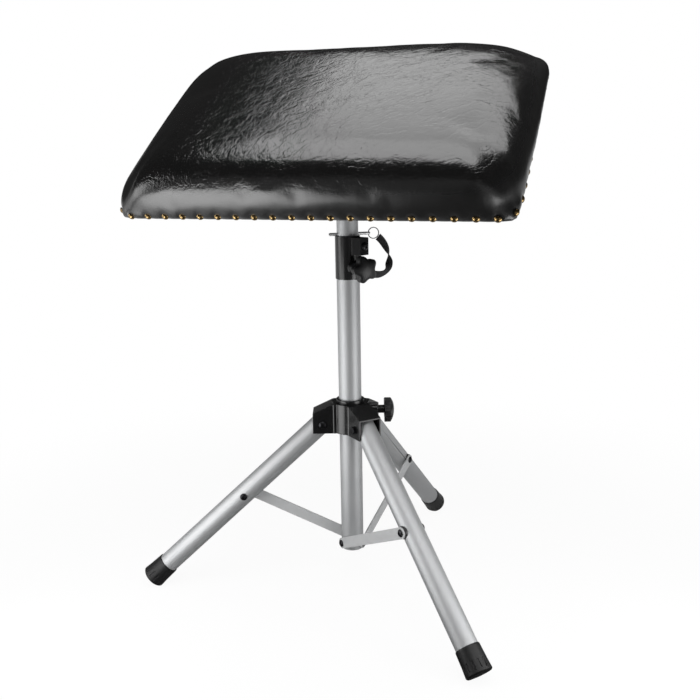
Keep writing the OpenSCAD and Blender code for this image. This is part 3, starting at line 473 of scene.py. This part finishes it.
def face_outwards():
    """The active piece's faces, all turned to look out of it."""
    bpy.ops.object.mode_set(mode="EDIT")
    bpy.ops.mesh.select_all(action="SELECT")
    bpy.ops.mesh.normals_make_consistent(inside=False)
    bpy.ops.object.mode_set(mode="OBJECT")


face_outwards()
bpy.ops.object.shade_smooth_by_angle(angle=math.radians(40))
webbing, shader, where = finish("black_webbing", Roughness=0.75)
threads = given(webbing.node_tree, "ShaderNodeUVMap", "UV")
ribs = (threads.axis("x") * 5200).math("SINE") * (threads.axis("y") * 4200).math("SINE")
ribs.ramp(-1, 1).blend((0.006, 0.006, 0.007, 1), (0.022, 0.022, 0.024, 1)).feed(shader, "Base Color")
ribs.bump(0.00012, 0.7).feed(shader, "Normal")
strap.data.materials.clear()
strap.data.materials.append(webbing)
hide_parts("pin_strap")
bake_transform(strap)


# Hub: a black pressed cup that slides on the column, with three folded brackets for the
# legs, a plastic bushing inside, a boss with a brass insert, and three pivot bolts.
bushing_finish = moulded("bushing_plastic", (0.010, 0.010, 0.0105), 0.4)
broken_edges("hub_spider", "hub", paint_finish, 0.0005)
broken_edges("hub_bushing", "hub", bushing_finish, 0.0003)
broken_edges("hub_insert", "hub", brass_finish, 0.0002)
broken_edges("hub_bolts", "hub", screw_finish, 0.0002)
broken_edges("hub_nuts", "hub", screw_finish, 0.0003)
star_knob("hub_star_knob", "hub_knob", "hub_knob", round_column(0, 0.0362, 0.249195))
broken_edges("hub_clamp_screw", "hub_knob", steel_finish, 0.0003)


# Legs: three aluminium tubes, plugged at the hub. Each ends in a rubber foot, smooth above
# and notched below, and carries a bolt with a shaped saddle for its brace.
leg_spread = 47.4
leg_plastic = moulded("leg_plastic", (0.012, 0.012, 0.0125), 0.32)
rubber, shader, where = finish("foot_rubber", Specular_IOR_Level=0.4)
dusty = where.noise(160, 4, 0.65)
low_edge = where.axis("z").ramp(0.0, 0.012, 1.0, 0.0)
(dusty * (0.35 + 0.65 * low_edge)).ramp(0.25, 0.75).blend(
    (0.006, 0.006, 0.0063, 1), (0.026, 0.0255, 0.0245, 1)).feed(shader, "Base Color")
(0.36 + 0.22 * dusty).feed(shader, "Roughness")
where.noise(1900, 2).bump(0.00006, 0.5).feed(shader, "Normal")
for leg, turn in (("a", 180), ("b", -60), ("c", 60)):
    body = "leg_" + leg
    along = Euler((0, math.radians(180 - leg_spread), math.radians(turn))).to_matrix().inverted().to_euler()
    leg_finish = satin_aluminium(body + "_aluminium", tuple(along))
    broken_edges(body + "_tube", body, leg_finish)
    broken_edges(body + "_plug", body, leg_plastic, 0.0003)
    broken_edges(body + "_foot", body, rubber, 0.0004)
    broken_edges(body + "_saddle", body, leg_plastic, 0.0004)
    broken_edges(body + "_bolt", body, screw_finish, 0.0002)


# Braces: flat steel bars in light grey paint, bolted at the column and pivoting on a
# screw at each leg.
brace_paint, shader, where = finish("brace_grey_paint")
pits = where.noise(1300, 3)
smudge = where.noise(60, 3)
smudge.blend((0.40, 0.405, 0.41, 1), (0.47, 0.475, 0.48, 1)).feed(shader, "Base Color")
(0.36 + 0.14 * pits).feed(shader, "Roughness")
pits.bump(0.00005, 0.4).feed(shader, "Normal")
for leg in "abc":
    broken_edges(f"brace_{leg}_bar", "brace_" + leg, brace_paint, 0.0003)
    broken_edges(f"brace_{leg}_screw", "brace_" + leg, screw_finish, 0.0002)


# Post: the inner tube, with seven pin holes, which slides in the column. A plug at its
# lower end guides it.
broken_edges("post_tube", "post", satin_aluminium("post_aluminium", rub=0.5))
broken_edges("post_plug", "post", plug_finish, 0.0003)


# Head: a black cast socket on the post's upper end with a lug on top. The folded tilt
# bracket under the pad turns on its bolt, and a second star knob clamps it.
broken_edges("head_socket", "head", paint_finish, 0.0006)
broken_edges("head_insert", "head", brass_finish, 0.0002)
star_knob("head_star_knob", "head_knob", "head_knob", round_column(70.7, 0.0257, 0.5175))
broken_edges("head_clamp_screw", "head_knob", steel_finish, 0.0003)
broken_edges("tilt_bracket", "pad", paint_finish, 0.0005)
broken_edges("tilt_bolt", "pad", steel_finish, 0.0003)
broken_edges("tilt_washer", "pad", steel_finish, 0.0002)
broken_edges("bracket_screws", "pad", steel_finish, 0.00025)
tilt_height, pad_turn, pad_slope = 0.563, -19.3, 36
bracket_place = (Matrix.Translation((0, 0, tilt_height)) @ Matrix.Rotation(math.radians(pad_turn), 4, "Z")
                 @ Matrix.Rotation(math.radians(pad_slope), 4, "X"))
star_knob("tilt_star_knob", "tilt_knob", "tilt_knob",
          bracket_place @ Matrix.Translation((0.0191, 0, 0)) @ Matrix.Rotation(math.radians(90), 4, "Y"),
          neck_r=0.0068)


# Pad board: birch plywood inside the cushion, hidden by the leather and the dust cloth. The
# tilt bracket is screwed to it from below.
plywood, shader, where = finish("birch_plywood")
grain = where.placed(tuple(bracket_place.inverted().to_euler())).placed(scale=(18, 240, 240)).noise(1, 3)
grain.blend((0.46, 0.31, 0.17, 1), (0.62, 0.46, 0.28, 1)).feed(shader, "Base Color")
(0.5 + 0.2 * grain).feed(shader, "Roughness")
broken_edges("pad_board", "pad", plywood, 0.0030)


# Pad cover: one hide of glossy black crackled leather, drawn tight over the foam, folded
# under the board and nailed round its edge, so it puckers between the nails.
pad_place = bracket_place @ Matrix.Translation((-0.007, 0.0085, 0.032))
pad_w, pad_d, pad_side, pad_top = 0.480, 0.297, 0.0215, 0.079
nail_up, nail_r, nail_count = 0.0073, 0.02364, 33


def side_out(z):
    """How far the cushion's side stands out at a height."""
    return 0.004 * (1 - (1 - min(z / pad_side, 1)) ** 2)


def side_round(z):
    """How round the cushion's corners are at a height."""
    return 0.009 + 0.044 * min(z / pad_side, 1)


def plan(u, v, w, d, r):
    """The point of a rounded rectangle for a point of the square from -1 to 1."""
    a, b = abs(u) * w / 2 - (w / 2 - r), abs(v) * d / 2 - (d / 2 - r)
    if a > 0 and b > 0:
        k = max(a, b) / math.hypot(a, b)
        return math.copysign(w / 2 - r + a * k, u), math.copysign(d / 2 - r + b * k, v)
    return u * w / 2, v * d / 2


def crown(u, v):
    """How high the stuffing stands: long and soft to the left and behind, rounded over
    in a full shoulder in front and on the right."""
    if u < 0:
        across = (1 - abs(u) ** 5.5) ** 1.1
    else:
        roll = (0.063 + 0.120 * max(v, 0) ** 2) / (pad_w / 2 + 0.004)
        across = max(0, 1 - max(0, (u - 1 + roll) / roll) ** 2) ** 0.5 * (1 - 0.08 * u ** 4)
    if v < 0:
        roll = 0.050 / (pad_d / 2 + 0.004)
        along = max(0, 1 - max(0, (-v - 1 + roll) / roll) ** 2.5) ** 0.4 * (1 - 0.15 * v - 0.20 * v * v)
    else:
        along = (1 - v ** 7) * (1 - 0.15 * v)
    return across * along * (1 - 0.055 * u)


def nail_places():
    """Each nail's place on the pad's edge and the way it points outwards, in degrees."""
    w = pad_w + 2 * side_out(nail_up) - 0.0006
    d = pad_d + 2 * side_out(nail_up) - 0.0006
    a, q, e = w / 2 - nail_r, math.pi * nail_r / 2, d - 2 * nail_r  # half a front, a corner, a side
    half = 2 * a + 2 * q + e
    for i in range(nail_count):
        s = (i + 0.5) * half / nail_count
        if s < a:
            x, y, t = s, -d / 2, -90
        elif s < a + q:
            t = -90 + 90 * (s - a) / q
            x = a + nail_r * math.cos(math.radians(t))
            y = nail_r - d / 2 + nail_r * math.sin(math.radians(t))
        elif s < a + q + e:
            x, y, t = w / 2, nail_r - d / 2 + s - a - q, 0
        elif s < a + 2 * q + e:
            t = 90 * (s - a - q - e) / q
            x = a + nail_r * math.cos(math.radians(t))
            y = d / 2 - nail_r + nail_r * math.sin(math.radians(t))
        else:
            x, y, t = a - (s - a - 2 * q - e), d / 2, 90
        yield x, y, t
        yield -x, y, 180 - t


nails = list(nail_places())


def cushion_form(inset, drop):
    """The stuffed form, its skin set in and its crown lowered, on a flat base."""
    nu, nv = 60, 38
    top_w, top_d, top_round = pad_w + 0.008 - 2 * inset, pad_d + 0.008 - 2 * inset, 0.053 - inset

    def cell(i, n):
        return math.sin(math.radians(-90 + 180 * i / n))

    def at(i, j):
        return j * (nu + 1) + i

    rim = ([(cell(i, nu), -1) for i in range(nu)] + [(1, cell(j, nv)) for j in range(nv)]
           + [(-cell(i, nu), 1) for i in range(nu)] + [(-1, -cell(j, nv)) for j in range(nv)])
    points = []
    for j in range(nv + 1):
        for i in range(nu + 1):
            u, v = cell(i, nu), cell(j, nv)
            x, y = plan(u, v, top_w, top_d, top_round)
            points.append((x, y, pad_side + (pad_top - drop - pad_side) * crown(u, v)))
    ring_above = ([at(i, 0) for i in range(nu)] + [at(nu, j) for j in range(nv)]
                  + [at(nu - i, nv) for i in range(nu)] + [at(0, nv - j) for j in range(nv)])
    made = [(at(i, j), at(i + 1, j), at(i + 1, j + 1), at(i, j + 1)) for j in range(nv) for i in range(nu)]
    n = len(rim)
    for z in (0.018, 0.014, 0.010, nail_up, 0.0045, 0.002, 0.0):
        out = 2 * side_out(z) - 2 * inset
        ring_now = []
        for u, v in rim:
            ring_now.append(len(points))
            points.append((*plan(u, v, pad_w + out, pad_d + out, side_round(z) - inset), z))
        made += [(ring_above[k], ring_now[k], ring_now[(k + 1) % n], ring_above[(k + 1) % n])
                 for k in range(n)]
        ring_above = ring_now
    made.append(tuple(reversed(ring_above)))
    mesh = bpy.data.meshes.new("cushion_form")
    mesh.from_pydata(points, [], made)
    form = bpy.data.objects.new("pad_leather", mesh)
    bpy.context.collection.objects.link(form)
    return form


cover = cushion_form(inset=0.0008, drop=0.0015)
deselect()
cover.select_set(True)
bpy.context.view_layer.objects.active = cover
face_outwards()
remesh = cover.modifiers.new("even_mesh", "REMESH")
remesh.mode, remesh.voxel_size = "VOXEL", 0.0045
bpy.ops.object.modifier_apply(modifier="even_mesh")
smoothing = cover.modifiers.new("no_steps", "SMOOTH")
smoothing.factor, smoothing.iterations = 0.5, 3
bpy.ops.object.modifier_apply(modifier="no_steps")


def nearest_nail(point):
    """How far the nearest nail is, with its place and the way it points."""
    return min(((point - Vector((x, y, nail_up))).length, x, y, t) for x, y, t in nails)


hem_top, under_nail, most_move, side_top = 0.0025, 0.0045, 0.0024, 0.012
held = cover.vertex_groups.new(name="nailed")
before = [point.co.copy() for point in cover.data.vertices]
for point in cover.data.vertices:
    near_nail = point.co.z < 0.016 and nearest_nail(point.co)[0] < under_nail
    if point.co.z < hem_top or near_nail:
        held.add([point.index], 1.0, "REPLACE")
cloth = cover.modifiers.new("stuffing", "CLOTH")
leather_cloth = cloth.settings
leather_cloth.vertex_group_mass = "nailed"
leather_cloth.quality = 5
leather_cloth.mass = 0.35
leather_cloth.tension_stiffness = leather_cloth.compression_stiffness = 40
leather_cloth.shear_stiffness = 20
leather_cloth.bending_stiffness = 6
leather_cloth.shrink_min = -0.002
leather_cloth.use_pressure = True
leather_cloth.uniform_pressure_force = 4.0
leather_cloth.effector_weights.gravity = 0.0
cloth.collision_settings.use_collision = False
cloth.collision_settings.use_self_collision = False
for moment in range(1, 21):
    bpy.context.scene.frame_set(moment)
bpy.ops.object.modifier_apply(modifier="stuffing")
bpy.context.scene.frame_set(1)
for point, start in zip(cover.data.vertices, before):
    move = point.co - start
    limit = most_move * min(1, max(0.0, start.z) / side_top)
    point.co = start + move * (limit / (limit + move.length + 1e-9))
upper = cover.vertex_groups.new(name="above_nails")
upper.add([point.index for point in cover.data.vertices if point.co.z > side_top], 1.0, "REPLACE")
taut = cover.modifiers.new("taut", "SMOOTH")
taut.factor, taut.iterations, taut.vertex_group = 0.5, 5, "above_nails"
bpy.ops.object.modifier_apply(modifier="taut")
finer = cover.modifiers.new("fine", "SUBSURF")
finer.levels = finer.render_levels = 1
bpy.ops.object.modifier_apply(modifier="fine")
for point in cover.data.vertices:
    # The nails pull the leather in and fold it, and it swells between them.
    if 0.001 < point.co.z < 0.034:
        gap, x, y, t = nearest_nail(point.co)
        out = Vector((math.cos(math.radians(t)), math.sin(math.radians(t)), 0))
        along = (point.co.x - x) * -out.y + (point.co.y - y) * out.x
        rise = point.co.z - nail_up
        pull = math.exp(-(gap / 0.0050) ** 2) * 0.0014
        fold = math.exp(-(along / 0.0034) ** 2) * math.exp(-(rise / 0.009) ** 2) * 0.0004
        swell = (1 - math.exp(-(along / 0.0060) ** 2)) * math.exp(-((rise - 0.001) / 0.006) ** 2) * 0.0006
        point.co += out * (swell - pull - fold)
    # The stuffing bulges a little over the nails at the right end and the left front.
    if point.co.x > 0.15:
        side = min(1, (point.co.x - 0.15) / 0.07) * min(1, max(0, (point.co.y + 0.15) / 0.12))
        point.co.x += 0.0034 * side * math.exp(-((point.co.z - 0.024) / 0.013) ** 2)
    if point.co.x < -0.15:
        side = min(1, (-0.15 - point.co.x) / 0.07) * min(1, max(0, (0.02 - point.co.y) / 0.12))
        point.co.x -= 0.0026 * side * math.exp(-((point.co.z - 0.020) / 0.012) ** 2)
    # The top is never quite even.
    if point.co.z > 0.03:
        spot = point.co * 30
        point.co.z += 0.00022 * noise.noise(spot) + 0.00010 * noise.noise(spot * 2.6 + Vector((5, 1, 2)))
cover.data.transform(pad_place)
bpy.ops.object.shade_smooth()

leather, shader, where = finish("crackled_black_leather", Specular_IOR_Level=0.85)
hide = where.placed(tuple(pad_place.inverted().to_euler()))
pad_base = 0.4877  # where the pad's underside is, along the pad's own way up
side_x, rise_z = hide.axis("x"), hide.axis("z") - pad_base
warp = hide.node("ShaderNodeTexNoise", {}, {"Vector": hide, "Scale": 34.0, "Detail": 4.0}, out=1)
shifted = hide.node("ShaderNodeVectorMath", {"operation": "MULTIPLY_ADD"},
                    {0: warp, 1: (0.030, 0.024, 0.024), 2: hide})
wide = shifted.placed(scale=(1.0, 0.55, 0.8), turn=(0, 0, 0.3))
slant = shifted.placed(turn=(0, 0, -0.60)).placed(scale=(0.42, 1.0, 1.0))


def cracks(size, width):
    """A net of shallow cracks round cells of about this many to the metre."""
    return wide.node("ShaderNodeTexVoronoi", {"feature": "DISTANCE_TO_EDGE"},
                     {"Vector": wide, "Scale": size}).ramp(0.0, width)


def creases(size, width):
    """Long shallow wrinkles that run up the pad to the right, about this many to the metre."""
    wave = slant.noise(size, 3)
    return (wave - 0.5).math("ABSOLUTE").ramp(0.0, width)


crumple = side_x.ramp(-0.15, 0.03, 2.0, 1.25) * side_x.ramp(0.19, 0.24, 1.0, 0.35)
relief = (creases(40.0, 0.05) * 0.40 + creases(92.0, 0.06) * 0.24 + cracks(105.0, 0.055) * 0.12
          + cracks(230.0, 0.14) * 0.10 + wide.noise(70, 4) * 0.50)
streaks = hide.placed(scale=(210, 9, 14)).noise(1, 2) * rise_z.ramp(0.03, 0.065, 1.0, 0.0)
pores = hide.noise(2400, 2)
shade_of_hide = hide.noise(45, 3)
shade_of_hide.blend((0.0045, 0.0045, 0.0046, 1), (0.0070, 0.0068, 0.0066, 1)).feed(shader, "Base Color")
worn_front = rise_z.ramp(0.030, 0.058, 0.13, 0.0)
(0.15 + 0.06 * shade_of_hide + 0.02 * pores + worn_front).feed(shader, "Roughness")
surface = relief * crumple * rise_z.ramp(0.032, 0.060) + streaks * 0.35 + pores * 0.02
surface.bump(0.00040, 0.6).feed(shader, "Normal")
cover.data.materials.append(leather)
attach(cover, "pad")
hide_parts("pad_cover", "pad_foam")


# Upholstery nails: pressed domes in antique brass on steel shanks, driven side by side
# round the board's edge through the leather.
antique, shader, where = finish("antique_nail_brass", Metallic=1.0)
tarnish = where.noise(1100, 3)
tarnish.ramp(0.40, 0.62).blend((0.42, 0.29, 0.125, 1), (0.10, 0.066, 0.030, 1)).feed(shader, "Base Color")
(0.14 + 0.20 * tarnish).feed(shader, "Roughness")
ball_r, head_r, head_rise, shank_r, shank_length, sunk = 0.0054, 0.0043, 0.00252, 0.0007, 0.0126, 0.0011
deselect()
bpy.ops.mesh.primitive_uv_sphere_add(segments=20, ring_count=12, radius=ball_r)
nail = bpy.context.object
bpy.ops.object.mode_set(mode="EDIT")
bpy.ops.mesh.select_all(action="SELECT")
bpy.ops.mesh.bisect(plane_co=(0, 0, ball_r * 0.55), plane_no=(0, 0, 1), clear_inner=True, use_fill=True)
bpy.ops.object.mode_set(mode="OBJECT")
low_z = min(point.co.z for point in nail.data.vertices)
rim_r = max(point.co.xy.length for point in nail.data.vertices)
top_z = max(point.co.z for point in nail.data.vertices) - low_z
for point in nail.data.vertices:
    point.co.z = (point.co.z - low_z) * head_rise / top_z
    point.co.xy *= head_r / rim_r
pick_faces(nail, lambda up: up < -0.9)
bpy.ops.mesh.inset(thickness=head_r - shank_r)
bpy.ops.mesh.extrude_region_move(TRANSFORM_OT_translate={"value": (0, 0, -shank_length)})
bpy.ops.object.mode_set(mode="OBJECT")
bpy.ops.object.shade_smooth_by_angle(angle=math.radians(40))


def row_of(pattern, name, places):
    """One piece with a copy of the pattern at each place; the pattern itself goes."""
    row = []
    for place in places:
        driven = bpy.data.objects.new(name, pattern.data.copy())
        bpy.context.collection.objects.link(driven)
        driven.data.transform(place)
        row.append(driven)
    bpy.data.objects.remove(pattern)
    return join(row)


nail_row = row_of(nail, "brass_nail_row", [
    pad_place @ Matrix.Translation((x, y, nail_up)) @ Matrix.Rotation(math.radians(t), 4, "Z")
    @ Matrix.Translation((-sunk, 0, 0)) @ Matrix.Rotation(math.radians(90), 4, "Y") for x, y, t in nails])
nail_row.data.materials.append(antique)
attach(nail_row, "pad")
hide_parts("pad_nails")


# Dust cloth: black non-woven cloth under the pad, stretched flat over the leather's hem
# and held by a row of staples round its edge.
deselect()
cloth_w, cloth_d = 0.460, 0.277
bpy.ops.mesh.primitive_grid_add(x_subdivisions=46, y_subdivisions=28, size=1)
under = bpy.context.object
under.name = "dust_cloth"
for point in under.data.vertices:
    u, v = point.co.x * 2, point.co.y * 2
    x, y = plan(u, v, cloth_w, cloth_d, 0.009)
    lift = 0.00012 * noise.noise(Vector((x * 60, y * 60, 0)))
    hem = 0.0002 * (abs(u) > 0.97 or abs(v) > 0.96)
    point.co = Vector((x, y, -0.0003 + lift - hem))
layer = under.modifiers.new("thickness", "SOLIDIFY")
layer.thickness, layer.offset = 0.0005, -1
bpy.ops.object.modifier_apply(modifier="thickness")
bpy.ops.object.shade_smooth_by_angle(angle=math.radians(40))
under.data.transform(pad_place)
felt, shader, where = finish("black_nonwoven", Roughness=0.9)
felt_place = where.placed(tuple(pad_place.inverted().to_euler()))
fibre = felt_place.placed(scale=(900, 2600, 900)).noise(1, 3)
dimples = felt_place.node("ShaderNodeTexVoronoi", {}, {"Vector": felt_place, "Scale": 700.0})
tone = fibre * 0.6 + dimples * 0.4
tone.blend((0.010, 0.010, 0.011, 1), (0.045, 0.045, 0.047, 1)).feed(shader, "Base Color")
(fibre + dimples).bump(0.00015, 0.6).feed(shader, "Normal")
under.data.materials.append(felt)
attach(under, "pad")
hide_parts("pad_dust_cloth")


# Staples: bent steel wire, twenty-eight of them round the dust cloth's edge, shot through
# the cloth and the leather's hem into the board.
deselect()
bpy.ops.curve.primitive_nurbs_path_add()
staple = bpy.context.object
staple.data.splines[0].type = "POLY"
half, leg_top, back = 0.005, 0.003, -0.0011
bends = ((-half, leg_top), (-half, back), (0, back), (half, back), (half, leg_top))
for point, (x, z) in zip(staple.data.splines[0].points, bends):
    point.co = (x, 0, z, 1)
staple.data.bevel_depth, staple.data.bevel_resolution, staple.data.use_fill_caps = 0.0004, 2, True
bpy.ops.object.convert(target="MESH")
margin = 0.006
shot = [(-0.204 + 0.051 * i, side * (cloth_d / 2 - margin), 0) for i in range(9) for side in (-1, 1)]
shot += [(side * (cloth_w / 2 - margin), -0.104 + 0.052 * i, 90) for i in range(5) for side in (-1, 1)]
staple_row = row_of(staple, "dust_cloth_staples", [
    pad_place @ Matrix.Translation((x, y, 0)) @ Matrix.Rotation(math.radians(t), 4, "Z") for x, y, t in shot])
bpy.ops.object.shade_smooth_by_angle(angle=math.radians(40))
wire_steel, shader, where = finish("galvanised_staple_wire", Metallic=1.0)
dull = where.noise(900, 3)
dull.blend((0.30, 0.30, 0.31, 1), (0.52, 0.52, 0.53, 1)).feed(shader, "Base Color")
(0.30 + 0.20 * dull).feed(shader, "Roughness")
staple_row.data.materials.append(wire_steel)
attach(staple_row, "pad")

bpy.context.scene.view_settings.view_transform = "Standard"
